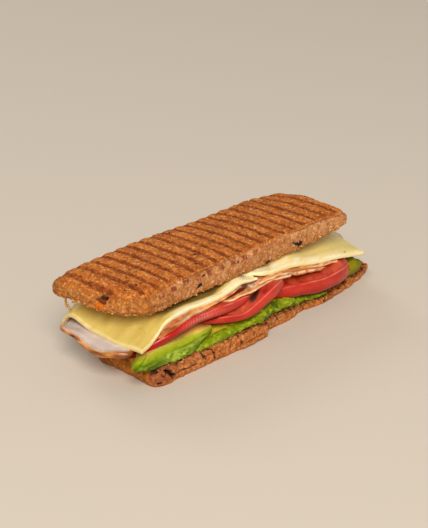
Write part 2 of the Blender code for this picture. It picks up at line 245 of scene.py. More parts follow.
def lower_plan(u, v, swell):
    middle_x, half_x, half_y = (LOWER_LEFT + LOWER_RIGHT) / 2, (LOWER_RIGHT - LOWER_LEFT) / 2, 33
    x, y = rounded_rectangle(u * half_x, v * half_y, half_x, half_y, ((6, 14), (8, 22)))
    x = middle_x + x * (1 + swell / half_x)
    across = (y * (1 + swell / half_y) / half_y + 1) / 2
    return x, mix(profile(LOWER_NEAR, x), profile(LOWER_FAR, x), across)


def upper_plan(u, v, swell):
    middle_x, middle_y = (UPPER_LEFT + UPPER_RIGHT) / 2, (UPPER_NEAR + UPPER_FAR) / 2
    half_x, half_y = BREAD_LENGTH / 2, BREAD_WIDTH / 2
    x, y = rounded_rectangle(u * half_x, v * half_y, half_x, half_y, ((25, 8), (9, 20)))
    end = clamp(-x / half_x - 0.8, 0, 0.2) * 5
    skew = -6.5 * end * y / half_y + 1.5 * clamp(x / half_x)
    return middle_x + x * (1 + swell / half_x) + skew, middle_y + y * (1 + swell / half_y)


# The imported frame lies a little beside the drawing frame, because it is centred on the whole

def packed_shift():
    """From where the lower bread's outline begins, which is made here as the solid's is: 38 by 9 cells."""
    steps = [np.linspace(-1, 1, n + 1) for n in (38, 9)]
    u, v = (a.ravel() for a in np.meshgrid(*steps, indexing="ij"))
    on_rim = np.maximum(abs(u), abs(v)) > 0.999
    u, v = u[on_rim], v[on_rim]
    low = []
    for w in (-1, -1 / 3, 1 / 3, 1):
        crag = 0.7 * wave(u * 110, v * 33 + w * 9, 11, 2) if abs(w) < 0.99 else -0.4
        x, y = lower_plan(u, v, 0.5 * (1 - w * w) + crag)
        low.append((x.min(), y.min()))
    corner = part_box("bread_bottom")[0]
    return np.array([corner[axis] / MM - min(pair[axis] for pair in low) for axis in range(2)] + [0])


SHIFT = packed_shift()


# Shells: a fine top face, walls, and a coarser underside

class Shell:
    """The points and faces of a closed piece, and each point's place on it.

    u and v run from -1 to 1 along and across, and w from 1 at the top of a wall to -1 at its foot. The top
    has cells of the given size, and the underside has cells step times as large. The walls have the given
    number of rows. Columns of points are views: moving one in place moves the shell.
    """

    def __init__(self, plan, spans, heights, cell, rows, lip, bulge, belly, step=4):
        nu, nv = (round(span / cell / step) * step for span in spans)
        u, v = np.meshgrid(np.linspace(-1, 1, nu + 1), np.linspace(-1, 1, nv + 1), indexing="ij")
        edge = np.maximum(abs(u), abs(v))
        x, y = plan(u, v, -lip * rise(edge, 0.86, 0.14))
        high, low = heights(x, y, u, v)
        index = np.arange(u.size).reshape(u.shape)
        ring = self.rim(index)
        count = len(ring)
        ru, rv, z0, z1 = (a.ravel()[ring] for a in (u, v, high, low))
        faces, parts = self.grid(index), []

        def add(*columns):
            """Columns: x, y, z, u, v, w, and the zone that the points are in."""
            parts.append(np.stack([np.ravel(a) * np.ones(columns[0].size) for a in columns], -1))

        add(x, y, high, u, v, 1, TOP)
        above, start = ring, u.size
        for row in range(1, rows + 1):
            w = 1 - 2 * row / rows
            wx, wy = plan(ru, rv, (lip + bulge) * (1 - abs(w) ** belly) - lip)
            add(wx, wy, mix(z1, z0, (w + 1) / 2), ru, rv, w, WALL)
            below = start + np.arange(count)
            faces += np.stack([above, below, np.roll(below, -1), np.roll(above, -1)], -1).tolist()
            above, start = below, start + count
        cu, cv, cz, ce = (a[::step, ::step] for a in (u, v, low, edge))
        add(*plan(cu * 0.985, cv * 0.97, -lip * rise(ce, 0.86, 0.14)), cz, cu, cv, -1, UNDER)
        inner = start + np.arange(cu.size).reshape(cu.shape)
        faces += [face[::-1] for face in self.grid(inner)]
        inner_ring = self.rim(inner)
        for n, corner in enumerate(inner_ring):
            following = inner_ring[(n + 1) % len(inner_ring)]
            for k in range(step):
                a, b = above[(n * step + k) % count], above[(n * step + k + 1) % count]
                faces.append([int(b), int(a), int(corner if k < step / 2 else following)])
            faces.append([int(corner), int(following), int(above[(n * step + step // 2) % count])])
        table = np.concatenate(parts)
        self.points, self.faces = table[:, :3].copy(), faces
        self.u, self.v, self.w, zone = table[:, 3:].T.copy()
        self.top, self.wall, self.under = (zone == kind for kind in (TOP, WALL, UNDER))
        self.edge = np.maximum(abs(self.u), abs(self.v))

    @staticmethod
    def rim(index):
        """The points around a grid, from the near left corner to the right."""
        return np.concatenate([index[:-1, 0], index[-1, :-1], index[:0:-1, -1], index[0, :0:-1]])

    @staticmethod
    def grid(index):
        """The quads of a grid of points, seen from above."""
        quads = np.stack([index[:-1, :-1], index[1:, :-1], index[1:, 1:], index[:-1, 1:]], -1)
        return quads.reshape(-1, 4).tolist()


def piece(name, nodes, material, points, faces, relief, tint):
    """Make a mesh, move its points along their normals, colour them, and let it stand for its nodes."""
    mesh = bpy.data.meshes.new(name)
    mesh.from_pydata(((points + SHIFT) * MM).tolist(), [], faces)
    normals = np.empty(len(points) * 3)
    mesh.vertices.foreach_get("normal", normals)
    normals = normals.reshape(-1, 3)
    if relief:
        points = points + normals * relief(points)[:, None]
        mesh.vertices.foreach_set("co", ((points + SHIFT) * MM).ravel())
    colours = np.ones((len(points), 4))
    colours[:, :3] = clamp(tint(points))
    mesh.color_attributes.new("tint", "FLOAT_COLOR", "POINT").data.foreach_set("color", colours.ravel())
    mesh.materials.append(material)
    mesh.update()
    mesh.shade_smooth()
    thing = bpy.data.objects.new(name, mesh)
    bpy.context.scene.collection.objects.link(thing)
    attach(thing, "root")
    if nodes:
        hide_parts(*nodes)
    return points


# Heights of a slice, read from its own solid and smoothed

def tree_of(node):
    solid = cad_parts[node]
    world = solid.matrix_world
    corners = [world @ vert.co for vert in solid.data.vertices]
    return BVHTree.FromPolygons(corners, [tuple(p.vertices) for p in solid.data.polygons])


def blur(field, sigma):
    """Smooth a grid by a Gaussian of the given width in cells along each axis."""
    for axis, width in enumerate(sigma):
        reach = max(1, int(3 * width))
        kernel = np.exp(-0.5 * (np.arange(-reach, reach + 1) / width) ** 2)
        kernel /= kernel.sum()
        pads = [(reach, reach) if a == axis else (0, 0) for a in range(2)]
        padded = np.pad(field, pads, mode="reflect", reflect_type="odd")
        field = np.apply_along_axis(lambda line: np.convolve(line, kernel, "valid"), axis, padded)
    return field


def fill(field):
    """Give the empty places of a grid the mean of their neighbours, from the edge of what is known."""
    while np.isnan(field).any():
        ring = np.pad(field, 1, constant_values=np.nan)
        around = np.stack([ring[1 + a:ring.shape[0] - 1 + a, 1 + b:ring.shape[1] - 1 + b]
                           for a, b in itertools.product((-1, 0, 1), repeat=2)])
        known = ~np.isnan(around)
        mean = np.where(known, around, 0).sum(0) / np.maximum(known.sum(0), 1)
        field = np.where(np.isnan(field) & known.any(0), mean, field)
    return field


def heights_from(node, smooth):
    """The heights of a solid's top and underside over a grid, smoothed over that many millimetres."""
    tree = tree_of(node)

    def heights(x, y, u, v):
        fields = []
        for start, way in ((1, -1), (-1, 1)):
            field = np.full(x.shape, np.nan)
            for place, (px, py) in enumerate(zip(*(((a + s) * MM).ravel() for a, s in zip((x, y), SHIFT)))):
                hit = tree.ray_cast(Vector((px, py, start)), Vector((0, 0, way)))[0]
                if hit:
                    field.flat[place] = hit.z / MM
            fields.append(fill(field))
        spacing = (np.ptp(x) / x.shape[0], np.ptp(y) / x.shape[1])
        high, low = (blur(field, [smooth / s for s in spacing]) for field in fields)
        return np.maximum(high, low + 1), low
    return heights


# Near edges as the camera sees them: (x, z) where a line of sight meets the plane y = SIGHT_PLANE. For each
# millimetre of y that it comes nearer, a line of sight goes SIGHT_ALONG to the left and SIGHT_RISE up.

SIGHT_PLANE, SIGHT_ALONG, SIGHT_RISE = -33, 1.04, 0.656
CHEESE_LOW = [(-88, 26.7), (-80, 29.7), (-74, 33.9), (-70, 37.6), (-66, 39.6), (-60, 40.9), (-52, 41.2),
              (-44, 41.4), (-34, 40.3), (-24, 40), (-18, 40.4), (-12, 41.4), (-7, 42.2), (0, 43.6),
              (10, 42.4), (20, 42.6), (30, 41), (40, 40), (50, 39), (60, 36.7), (70, 34.4), (80, 32.5),
              (90, 31.1), (100, 29.4), (110, 27.2), (126.7, 23.6)]
MEAT_LOW = [(-80, 28.6), (-73, 33.3), (-68, 35), (-60, 36.1), (-50, 36.5), (-44, 36.8), (-34, 36.2),
            (-24, 36.1), (-18, 35.7), (-10, 34.9), (0, 34.9), (10, 33.8), (20, 35), (32, 34.8), (45, 33.3),
            (60, 30.6), (70, 28.4), (77, 27.2), (84, 27), (91, 27.2), (100, 27.2), (110, 26)]

# Lower and upper near edge of a slice, as seen
EDGES = {
    "avocado_2": (
        [(-44, 10.6), (8, 11), (20, 10.6), (31, 11.6)],
        [(-44, 16), (-20, 17.4), (8, 16.4), (20, 18.6), (31, 23.4)]),
    "avocado_3": (
        [(30, 11.8), (41, 11.2), (50, 10.4)],
        [(31, 20.4), (40, 19.4), (49, 18.6)]),
    "avocado_4": (
        [(50, 10.2), (64, 9.7), (76, 8.6), (85, 8.1)],
        [(50, 16.6), (63, 14.6), (72, 12.8), (82, 11.2), (89, 10.6)]),
    "tomato_1": (
        [(-86, 26.7), (-79, 26.4), (-68, 27.8), (-60, 28.9), (-49, 29.7), (-38, 30.6), (-20, 28.9), (0, 27.2),
         (9, 26.4)],
        [(-87, 27.6), (-82, 29.2), (-78, 31), (-73, 32.2), (-66, 32.6), (-60, 33), (-55, 34), (-50, 35.4),
         (-44, 36.2), (-34, 35.8), (-24, 35.6), (-18, 35.2), (-10, 34.5), (-2, 34.3), (3, 33.2), (9, 30.6)]),
    "tomato_2": (
        [(-38, 30.2), (-30, 26.7), (-20, 23.3), (-10, 20.6), (0, 18.6), (10, 17.8), (16, 18.2), (20, 19.8),
         (30, 23.3), (36, 25.8), (43, 30)],
        [(-38, 31.2), (-30, 29.2), (-20, 27.8), (-10, 25.6), (0, 23.2), (8, 24.2), (16, 26.8), (24, 29.6),
         (32, 32.6), (38, 34.4), (43, 36.4)]),
    "tomato_3": (
        [(38, 21.4), (50, 17.5), (60, 15.4), (70, 12.8), (80, 11.4), (100, 11.4), (108, 12.8), (113, 16.4)],
        [(38, 28.6), (50, 26.7), (60, 24.2), (70, 22.8), (80, 21.2), (90, 21), (100, 21.7), (106, 22.8),
         (113, 26)]),
}


def even_out(field, x, reach):
    """Smooth a grid of heights along x alone."""
    return blur(field, [reach * x.shape[0] / np.ptp(x), 0.1])


def seen_from(points):
    """The (x, z) at which each point shows."""
    back = points[:, 1] - SIGHT_PLANE
    return points[:, 0] - SIGHT_ALONG * back, points[:, 2] + SIGHT_RISE * back


def fit(field, x, y, v, knots, above=0, first=-200):
    """Bring a slice's near edge to where it shows on the curve, from the first x on, and less further in."""
    rim_x, back = x[:, 0], y[:, 0] - SIGHT_PLANE
    change = profile(knots, rim_x - SIGHT_ALONG * back) - SIGHT_RISE * back + above - field[:, 0]
    change = change * rise(rim_x, first, 6)
    return field + np.interp(x, rim_x, change) * rise(v, 0.2, -1)


def fitted_heights(name):
    """The solid's heights, with the near edges brought to their curves where the slice has any."""
    taken = heights_from(name, 3)

    def heights(x, y, u, v):
        high, low = taken(x, y, u, v)
        if name in EDGES:
            low, high = (fit(field, x, y, v, knots) for field, knots in zip((low, high), EDGES[name]))
        return np.maximum(high, low + 1), low
    return heights


# Materials: the tint of each point, broken up by finer noise

class Look:
    """A material whose colour is the piece's tint with finer noise over it. Sizes are in millimetres."""

    def __init__(self, name, roughness, speckle, speckle_size, relief, relief_size, **sockets):
        self.material = bpy.data.materials.new(name)
        self.material.use_nodes = True
        self.nodes, self.links = self.material.node_tree.nodes, self.material.node_tree.links
        shader = self.nodes["Principled BSDF"]
        self.feed(shader, **sockets)
        self.place = self.nodes.new("ShaderNodeTexCoord").outputs["Object"]
        tint = self.nodes.new("ShaderNodeAttribute")
        tint.attribute_name = "tint"
        self.colour = tint.outputs["Color"]
        self.shade(self.noise(speckle_size, 3), speckle)
        self.shade(self.noise(speckle_size * 5, 2), 0.6 * speckle)
        gloss = self.ramp(self.noise(3, 2), max(0.02, roughness - 0.08), min(1, roughness + 0.08))
        self.feed(shader, Base_Color=self.colour, Roughness=gloss)
        bump = self.nodes.new("ShaderNodeBump")
        self.feed(bump, Distance=relief * MM, Height=self.noise(relief_size, 4))
        self.feed(shader, Normal=bump.outputs["Normal"])

    def feed(self, node, **inputs):
        """Link or set a node's inputs."""
        for name, value in inputs.items():
            socket = node.inputs[name.replace("_", " ")]
            if isinstance(value, bpy.types.NodeSocket):
                self.links.new(value, socket)
            else:
                socket.default_value = value
        return node

    def noise(self, size, detail):
        """Noise in object coordinates with lumps about that size."""
        node = self.nodes.new("ShaderNodeTexNoise")
        return self.feed(node, Scale=1 / (size * MM), Detail=detail, Vector=self.place).outputs["Fac"]

    def ramp(self, value, low, high):
        """Spread the middle of a noise over a range."""
        node = self.nodes.new("ShaderNodeMapRange")
        self.feed(node, From_Min=0.3, From_Max=0.7, To_Min=low, To_Max=high, Value=value)
        return node.outputs["Result"]

    def shade(self, value, swing):
        """Multiply the colour by a number that swings about 1."""
        node = self.nodes.new("ShaderNodeVectorMath")
        node.operation = "SCALE"
        self.links.new(self.colour, node.inputs[0])
        self.colour = self.feed(node, Scale=self.ramp(value, 1 - swing, 1 + swing)).outputs["Vector"]


def moist(specular, subsurface, radius, reach, coat=0, coat_roughness=0.03):
    """Inputs of a moist surface that light goes into."""
    return {"Specular_IOR_Level": specular, "Subsurface_Weight": subsurface, "Subsurface_Radius": radius,
            "Subsurface_Scale": reach * MM, "Coat_Weight": coat, "Coat_Roughness": coat_roughness}


# Name, roughness, speckle and its size, relief and its size
crust_look = Look("crust", 0.8, 0.34, 0.55, 0.4, 0.6, Specular_IOR_Level=0.12).material
crumb_look = Look("crumbs", 0.85, 0.25, 0.5, 0.2, 0.4, Specular_IOR_Level=0.1).material
cheese_look = Look("cheese", 0.42, 0.03, 0.8, 0.03, 1.2, **moist(0.3, 0.25, (1, 0.7, 0.3), 2)).material
turkey_look = Look("turkey", 0.36, 0.07, 0.9, 0.06, 0.8,
                   **moist(0.4, 0.2, (1, 0.5, 0.4), 1.5, 0.2, 0.25)).material
tomato_look = Look("tomato", 0.32, 0.06, 1, 0.04, 0.9,
                   **moist(0.28, 0.15, (1, 0.2, 0.1), 2, 0.22, 0.16)).material
avocado_look = Look("avocado", 0.46, 0.14, 0.8, 0.18, 0.8,
                    **moist(0.14, 0.15, (0.6, 0.8, 0.2), 1.5, 0.05, 0.25)).material
olive_look = Look("olive", 0.5, 0.4, 0.5, 0.2, 0.5, Specular_IOR_Level=0.2).material


# Small lumps: bits of olive and pepper in the crust, and loose crumbs

def ball(divisions):
    """Corners and faces of a round ball made of near equal triangles."""
    work = bmesh.new()
    bmesh.ops.create_icosphere(work, subdivisions=divisions, radius=1)
    corners = np.array([vert.co for vert in work.verts])
    faces = [[vert.index for vert in face.verts] for face in work.faces]
    work.free()
    return corners, faces


def lumps(name, material, rows, divisions, roughness, seed):
    """Uneven lumps in one mesh. Rows: centre, half sizes, turn about Y in degrees, colour."""
    corners, faces = ball(divisions)
    all_points, all_faces, all_colours = [], [], []
    for number, (centre, sizes, turn, colour) in enumerate(rows):
        uneven = 1 + roughness * crumble(corners + 9.7 * number, 0.9, seed)
        shape = corners * uneven[:, None] * np.array(sizes)
        angle = math.radians(turn)
        x = shape[:, 0] * math.cos(angle) + shape[:, 2] * math.sin(angle)
        z = shape[:, 2] * math.cos(angle) - shape[:, 0] * math.sin(angle)
        all_faces += [[corner + number * len(corners) for corner in face] for face in faces]
        all_points.append(np.stack([x, shape[:, 1], z], -1) + np.array(centre))
        all_colours.append(np.array(colour) * (0.85 + 0.3 * (uneven[:, None] - 1) / roughness))
    colours = np.concatenate(all_colours)
    piece(name, [], material, np.concatenate(all_points), all_faces, None, lambda p: colours)


def strew(name, points, mask, count, sizes, colours, seed):
    """Loose crumbs at places picked from the marked points."""
    pick = np.random.default_rng(seed)
    rows = []
    for place in pick.choice(np.flatnonzero(mask), count, replace=False):
        size = mix(*sizes, pick.random() ** 2)
        shape = size * (0.6 + 0.6 * pick.random(3))
        tone = mix(*colours, pick.random())
        rows.append((points[place], shape, 360 * pick.random(), tone))
    lumps(name, crumb_look, rows, 2, 0.35, seed)


# Bread

# Pores: size, seed, and the share of places that has one
TOP_PORES, WALL_PORES = (2.2, 21, 0.14), (2.6, 33, 0.12)
CRUMB_PORES, LOW_PORES = (3.4, 70, 0.42), (2.4, 75, 0.1)


def groove_offset(x, y):
    """Signed distance to the nearest groove of the pressed face, in shares of the pitch."""
    along = (x - FIRST_GROOVE - GROOVE_SLANT * (UPPER_FAR - 2 - y)) / RIDGE_PITCH
    nearest = clamp(np.round(along), 0, RIDGE_COUNT - 1)
    return along - nearest


def inset(u, v):
    """Distance in from the outline of the upper bread, and from its near side alone."""
    from_ends = (1 - abs(u)) * BREAD_LENGTH / 2
    from_sides = (1 - abs(v)) * BREAD_WIDTH / 2
    return np.minimum(from_ends, from_sides), (v + 1) * BREAD_WIDTH / 2


def leftness(x):
    """1 at the left end, 0 from the middle on."""
    return rise(x, -46, -34)


def upper_heights(x, y, u, v):
    across = (y - (UPPER_NEAR + UPPER_FAR) / 2) / (BREAD_WIDTH / 2)
    crown = mix(3.2, 1.4, rise(x, -60, 120)) * (1 - clamp(across * across))
    left = mix(8, 2.5, rise(y, -12, 40)) * slope(x, -74, -21) ** 2
    right = 3.2 * slope(x, 98, 16) ** 2
    deep = inset(u, v)[0]
    end = np.maximum(leftness(x), rise(x, 84, 24) * 0.55)
    radius = mix(3, 12, end)
    fall = mix(0.5, mix(5, 1.6, rise(y, -8, 24)), end)
    fall = fall * (1 - np.sqrt(1 - clamp((radius - deep) / radius) ** 2))
    lift = 1.7 * rise(y, 4, 22) * rise(x, 30, -60)
    lift = lift - 2.4 * rise(y, 6, 24) * rise(x, 70, 30)
    top = HEIGHT - 3.4 + crown - left - right - fall + lift
    low = np.maximum(profile(UPPER_UNDERSIDE, x), top - 30)
    return np.maximum(top, low + 3), low


def make_upper_bread():
    shell = Shell(upper_plan, (BREAD_LENGTH, BREAD_WIDTH), upper_heights, cell=0.5, rows=30, lip=1.8,
                  bulge=0.2, belly=3.2)
    u, v, w = shell.u, shell.v, shell.w
    x, y, z = shell.points.T
    far_left = rise(x, -76, -18) * rise(y, -12, 26)
    x -= 2.2 * far_left
    z += 3.6 * far_left * slope(z, 60, -13)
    deep, near = inset(u, v)
    end = np.maximum(leftness(x), 0.7 * rise(x, 84, 24))
    on_top, on_wall = shell.top, shell.wall
    on_near = on_wall & (v < -0.99) & (abs(u) < 0.985)
    wobble = 0.9 * grain(shell.points, (13, 16, 40), 3) + 0.45 * grain(shell.points, 3, 5)
    offset = groove_offset(x + wobble, y)
    far_side = rise(y, 20, 4) * (u > -0.96)
    stops = rise(near, 0.6, 2.2) * np.maximum(far_side, ease((deep - 0.2) / mix(1, 1.8, end))) * on_top
    faint = 1 - 0.15 * rise(x, -84, -8)
    half = 0.185 + 0.065 * crumble(shell.points, (2, 3.6, 2), 47)
    off_middle = abs(offset + 0.02)
    hollow = rise(off_middle, half + 0.14, -0.22)
    notch = hollow * on_wall * (v > 0.9) * rise(w, 0.4, 0.5)
    hollow = hollow * stops
    crease = on_near & ((x > -47) & (x < 1) | (x > 53) & (x < 105))
    # The crease is carved, and painted dark as shade in it
    crease_line = crease * bump_at(w, 0.9 + 0.04 * grain(shell.points, 5, 17), 0.035)

    def relief(p):
        rough = 0.16 * crumble(p, 5, 4) + 0.26 * crumble(p, 1.5, 8, 2)
        torn = on_wall * mix(0.1, 0.6, ease(-w * 1.6 + 0.1)) * crumble(p, 2.4, 12)
        shaggy = on_wall * clamp(-w) * (0.6 + leftness(x)) * 0.7 * crumble(p, 1.3, 15, 2)
        holes = 0.4 * pits(p, *TOP_PORES) + on_wall * pits(p, *WALL_PORES)
        grooved = (0.85 - 0.25 * far_side) * hollow
        return rough + torn + shaggy - holes - grooved - 0.4 * notch - 0.8 * crease_line

    def tint(p):
        fine, finer = crumble(p, 1.1, 44, 2), crumble(p, 0.95, 46, 2)
        light, dark = rise(fine, 0.18, 0.35), rise(finer, 0.15, 0.35)
        ridge = paint(cloud(p, (203, 118, 50), (174, 90, 31), 0.5, 0.8, (7, 10, 7), 40),
                      ((230, 168, 98), 0.6 * light), ((112, 50, 14), 0.6 * dark))
        core = rise(off_middle, half, -0.05)
        halo = ease(1 - abs(offset - 0.02) / 0.46)
        # Painted shade: a dark line along the lower left flank of each groove
        line = bump_at(offset, -0.15, 0.06) * clamp(0.6 + 0.9 * crumble(p, 4, 48))
        pressed = paint(cloud(p, (152, 75, 28), (114, 48, 14), 0.5, 0.7, 3, 49),
                        ((194, 114, 50), 0.6 * light), ((82, 34, 12), 0.5 * dark))
        colour = paint(ridge, ((172, 91, 34), 0.45 * halo * stops * faint),
                       (pressed, 0.95 * core * stops * faint), ((92, 38, 14), 0.6 * line * stops * faint))
        flour = paint(cloud(p, (205, 142, 88), (180, 110, 56), 0.5, 0.8, 6, 50),
                      ((230, 184, 140), 0.42 * light), ((146, 80, 38), 0.5 * dark))
        crumb = paint(cloud(p, (184, 111, 44), (146, 84, 30), 0.5, 0.8, 3, 54),
                      ((216, 150, 76), 0.35 * light), ((104, 50, 18), 0.5 * dark),
                      ((232, 172, 96), 0.6 * rise(w, -0.65, -0.3) * ease(0.5 + fine)))
        side = paint(flour, (crumb, np.maximum(0.8 * leftness(x), ease(-w - 0.35))))
        stamp = rise(abs(offset), 0.25, -0.06) * on_wall * (abs(v) > 0.99)
        stamp = stamp * rise(w, 0.34, 0.1) * rise(w, 0.86, -0.06)
        stamp = stamp * rise(x, -78, 8) * mix(1, 0.45, rise(x, 6, 26)) * (x < 38)
        side = paint(side, ((140, 60, 34), 0.95 * stamp * clamp(0.8 + 0.8 * crumble(p, 2, 58))))
        under = cloud(p, (222, 186, 128), (186, 132, 76), 0.5, 0.5, 3, 60)
        # Pores and the crease are painted dark as shade in them
        return paint(colour, (crumb, 0.45 * (1 - rise(deep, 0.5, 2.5)) * leftness(x) * on_top),
                     (side, on_wall * rise(w, 1.02, -0.12)), (under, shell.under),
                     ((84, 36, 14), 0.6 * pits(p, *TOP_PORES)),
                     ((84, 38, 16), 0.95 * on_wall * pits(p, *WALL_PORES)), ((70, 30, 14), 0.9 * crease_line))

    points = piece("bread_top_crust", ["bread_top"], crust_look, shell.points,
                   shell.faces, relief, tint)
    fringe = on_wall & (w < -0.55) & (w > -0.98) & ((v < -0.99) | (u < -0.99))
    strew("crumbs_above", points, fringe, 150, (0.35, 0.9), (srgb(232, 176, 104), srgb(170, 98, 44)), 5)
    return points, on_top & (deep > 2)


# By x: how far the near wall stands back beyond its large crack, and how much lower its worn top edge is
SET_BACK = [(21.2, 0), (22.6, 4.4), (50, 4.4), (64, 5), (84, 0.9), (100, 0)]
WORN = [(-77, 1.6), (19, 1.6), (24, 4.6), (46, 4.8), (62, 6.4), (84, 6.8), (100, 5), (120, 2.4), (136, 0.4)]


def lower_heights(x, y, u, v):
    lift = 1.6 * slope(x, 118, 25) ** 2
    top = profile(LOWER_THICKNESS, x) + lift + 0.5 * wave(x, y, 16, 1)
    return top - profile(WORN, x) * rise(v, -0.8, -0.17), lift


# Cracks in the near wall: points (x, z), half width, depth
CRACKS = [
    ([(-70.1, 14), (-70.7, 11.5), (-68.6, 8.8)], 0.9, 2.2),
    ([(-69.3, 9.6), (-67, 7.3), (-65.2, 5.2), (-63, 3.6)], 1.6, 3.4),
    ([(-62.6, 3.4), (-61, 4), (-59.5, 5), (-56.8, 4.9), (-49.1, 4.9), (-43.6, 4.7)], 0.7, 1.4),
    ([(-74, 9), (-71.5, 7), (-69, 9)], 0.5, 1),
    ([(-38.6, 12), (-38.3, 8), (-36, 6.6)], 0.9, 1.6),
    ([(-33, 11), (-30.3, 9.8), (-27.6, 5.6), (-26.8, 2)], 0.7, 1.6),
    ([(-7, 12.6), (-6.6, 10.2)], 1, 1.8),
    ([(-3.6, 6.6), (-3.2, 4.2)], 1, 1.6),
    ([(7.2, 9), (7.6, 6.8)], 0.8, 1.2),
    ([(21.4, 12), (22.4, 8.6), (21.8, 4.4), (22.6, 1.4)], 1.3, 2.6),
    ([(15, 11.4), (20.5, 10.6)], 0.7, 1.2),
    ([(36, 8.4), (36.8, 6)], 0.7, 1.2),
    ([(52, 7.4), (52.6, 5.6)], 0.9, 1.4),
    ([(65.6, 6.6), (66.4, 4.4), (66.8, 1.6)], 0.9, 1.8),
    ([(76, 5.4), (75.6, 3)], 0.6, 1.2),
    ([(85.6, 5.6), (84.6, 3.4), (85.4, 1.2)], 1, 2),
    ([(100, 5.4), (101.6, 3)], 0.6, 1.2),
]


def crack_at(points, line, width):
    """1 in the middle of a crack along the line, 0 outside it."""
    x = points[:, 0] + 0.9 * grain(points, 2.2, 61)
    z = points[:, 2] + 0.7 * grain(points, 1.8, 62)
    nearest = np.full(len(points), 99)
    for (x0, z0), (x1, z1) in zip(line, line[1:]):
        along = clamp(((x - x0) * (x1 - x0) + (z - z0) * (z1 - z0)) / ((x1 - x0) ** 2 + (z1 - z0) ** 2))
        nearest = np.minimum(nearest, np.hypot(x - mix(x0, x1, along), z - mix(z0, z1, along)))
    return ease(1 - nearest / (width * 1.3))


def make_lower_bread():
    shell = Shell(lower_plan, (222, 66), lower_heights, cell=0.6, rows=26, lip=0.6, bulge=0.5, belly=4)
    u, v, w, edge = shell.u, shell.v, shell.w, shell.edge
    x, y, z = shell.points.T
    rim = rise(edge, 0.9, 0.1)
    uneven = 0.9 * crumble(shell.points * (1, 1, 0.4), 11, 68) + 0.35 * grain(shell.points, (2.6, 2.6, 9), 69)
    y += uneven * rim * np.sign(v) * rise(abs(v), 0.9, 0.1)
    x += 1.2 * uneven * rim * np.sign(u) * rise(abs(u), 0.9, 0.1)
    x += 3.2 * rise(x, 96, 46)
    y += profile(SET_BACK, x) * rise(v, -0.4, -0.6)
    near_wall = shell.wall & (v < -0.98)
    far_wall = shell.wall & (v > 0.98)
    turned = shell.points * (-1, 1, 1) + (31, 0, 0)
    cracked = sum(depth * crack_at(shell.points, line, width) * near_wall
                  + 0.7 * depth * crack_at(turned, line, width) * far_wall for line, width, depth in CRACKS)
    floor = rise(z, 0.3, 1.5)
    torn_end = rise(x, -60, -12) * (u < -0.9)
    open_crumb = clamp(shell.top + torn_end * shell.wall * rise(z, 1, 3))
    ledge = near_wall * rise(x, 21.4, -8) * rise(x, -8, 8)
    proud = 1.2 * ledge * rise(z, 3.6, -0.8)
    seam = ledge * bump_at(z, 3.9, 0.5)
    proud = proud + 1.6 * rise(x, 85.4, 0.8) * rise(x, 118, -26) * near_wall * rise(z, 1, 3)
    # Painted shade along the top rim, under the fillings
    rim_shade_strip = rise(edge, 0.86, 0.05) * shell.top
    corner = rise(x, -61, -3) * rise(y, -27, -3)
    # The walls' top edge is carved crumbly and painted dark: partly darker crumb, partly painted shade under
    # the fillings
    eroded_and_shaded = (near_wall | far_wall) * rise(w, 0.4, 0.5)
    eroded_and_shaded = eroded_and_shaded * ease(0.4 + 1.6 * crumble(shell.points, 4.5, 93))

    def relief(p):
        rough = (0.36 + 0.5 * rise(x, 78, 8)) * crumble(p, 7, 64) + 0.26 * crumble(p, 1.8, 67)
        crags = open_crumb * (0.9 * crumble(p, 5, 70) + 0.6 * crumble(p, 2, 73, 2))
        pore = 1.7 * open_crumb * pits(p, *CRUMB_PORES) + 0.8 * near_wall * pits(p, *LOW_PORES)
        height = rough + crags - pore - 0.9 * cracked - 0.8 * seam + 0.9 * proud - 1.3 * eroded_and_shaded
        return height * floor * ~shell.under

    def tint(p):
        fine, finer = crumble(p, 1.2, 84, 2), crumble(p, 1, 86, 2)
        light, dark = rise(fine, 0.12, 0.3), rise(finer, 0.12, 0.3)
        crust = paint(cloud(p, (206, 129, 70), (176, 96, 42), 0.5, 0.8, 6, 80),
                      ((190, 106, 42), 0.6 * rise(x, -44, 16)),
                      ((150, 84, 42), 0.45 * ease(crumble(p, (9, 9, 5), 98) * 1.6)),
                      ((226, 168, 112), 0.5 * light), ((122, 60, 26), 0.6 * dark),
                      ((190, 108, 40), 0.6 * rise(p[:, 2], 4, -4)), ((164, 92, 44), 0.6 * rise(x, -62, -10)),
                      (cloud(p, (164, 92, 42), (74, 32, 12), 0.6, 1, 2.2, 94), 0.85 * eroded_and_shaded))
        shaded = np.maximum(shell.top, torn_end * rise(w, 0.35, 0.3)) * rise(x, -70, -8)
        shaded = 0.7 * shaded * (1 - corner) * ease(0.5 + 1.2 * crumble(p, 3, 96))
        crumb = paint(cloud(p, (188, 112, 44), (98, 46, 14), 0.5, 1, 2.6, 88),
                      ((200, 120, 34), 0.4 * torn_end), ((214, 150, 84), 0.35 * light),
                      ((88, 40, 14), shaded),
                      ((62, 26, 10), 0.75 * rim_shade_strip * ease(0.65 - crumble(p, 3.4, 92) * 1.6)),
                      ((200, 124, 46), 0.7 * rise(p[:, 2], 3.4, -3)),
                      (cloud(p, (164, 92, 58), (122, 62, 36), 0.5, 1, 2.4, 95), 0.8 * corner))
        # Pores, cracks and the seam under the ledge are painted dark as shade in them
        return paint(crust, (crumb, open_crumb), ((48, 20, 8), 0.95 * pits(p, *CRUMB_PORES) * open_crumb),
                     ((74, 32, 16), 0.9 * pits(p, *LOW_PORES) * near_wall), ((112, 52, 20), 0.7 * seam),
                     ((52, 20, 10), clamp(cracked * 0.7)))

    points = piece("bread_bottom_crust", ["bread_bottom"], crust_look, shell.points,
                   shell.faces, relief, tint)
    rough_rim = shell.top & (edge > 0.95) & ((v < -0.9) | (u < -0.94))
    strew("crumbs_below", points, rough_rim, 170, (0.4, 1.1), (srgb(216, 148, 76), srgb(120, 62, 26)), 6)


# Avocado: name, squareness, left, right, near, far

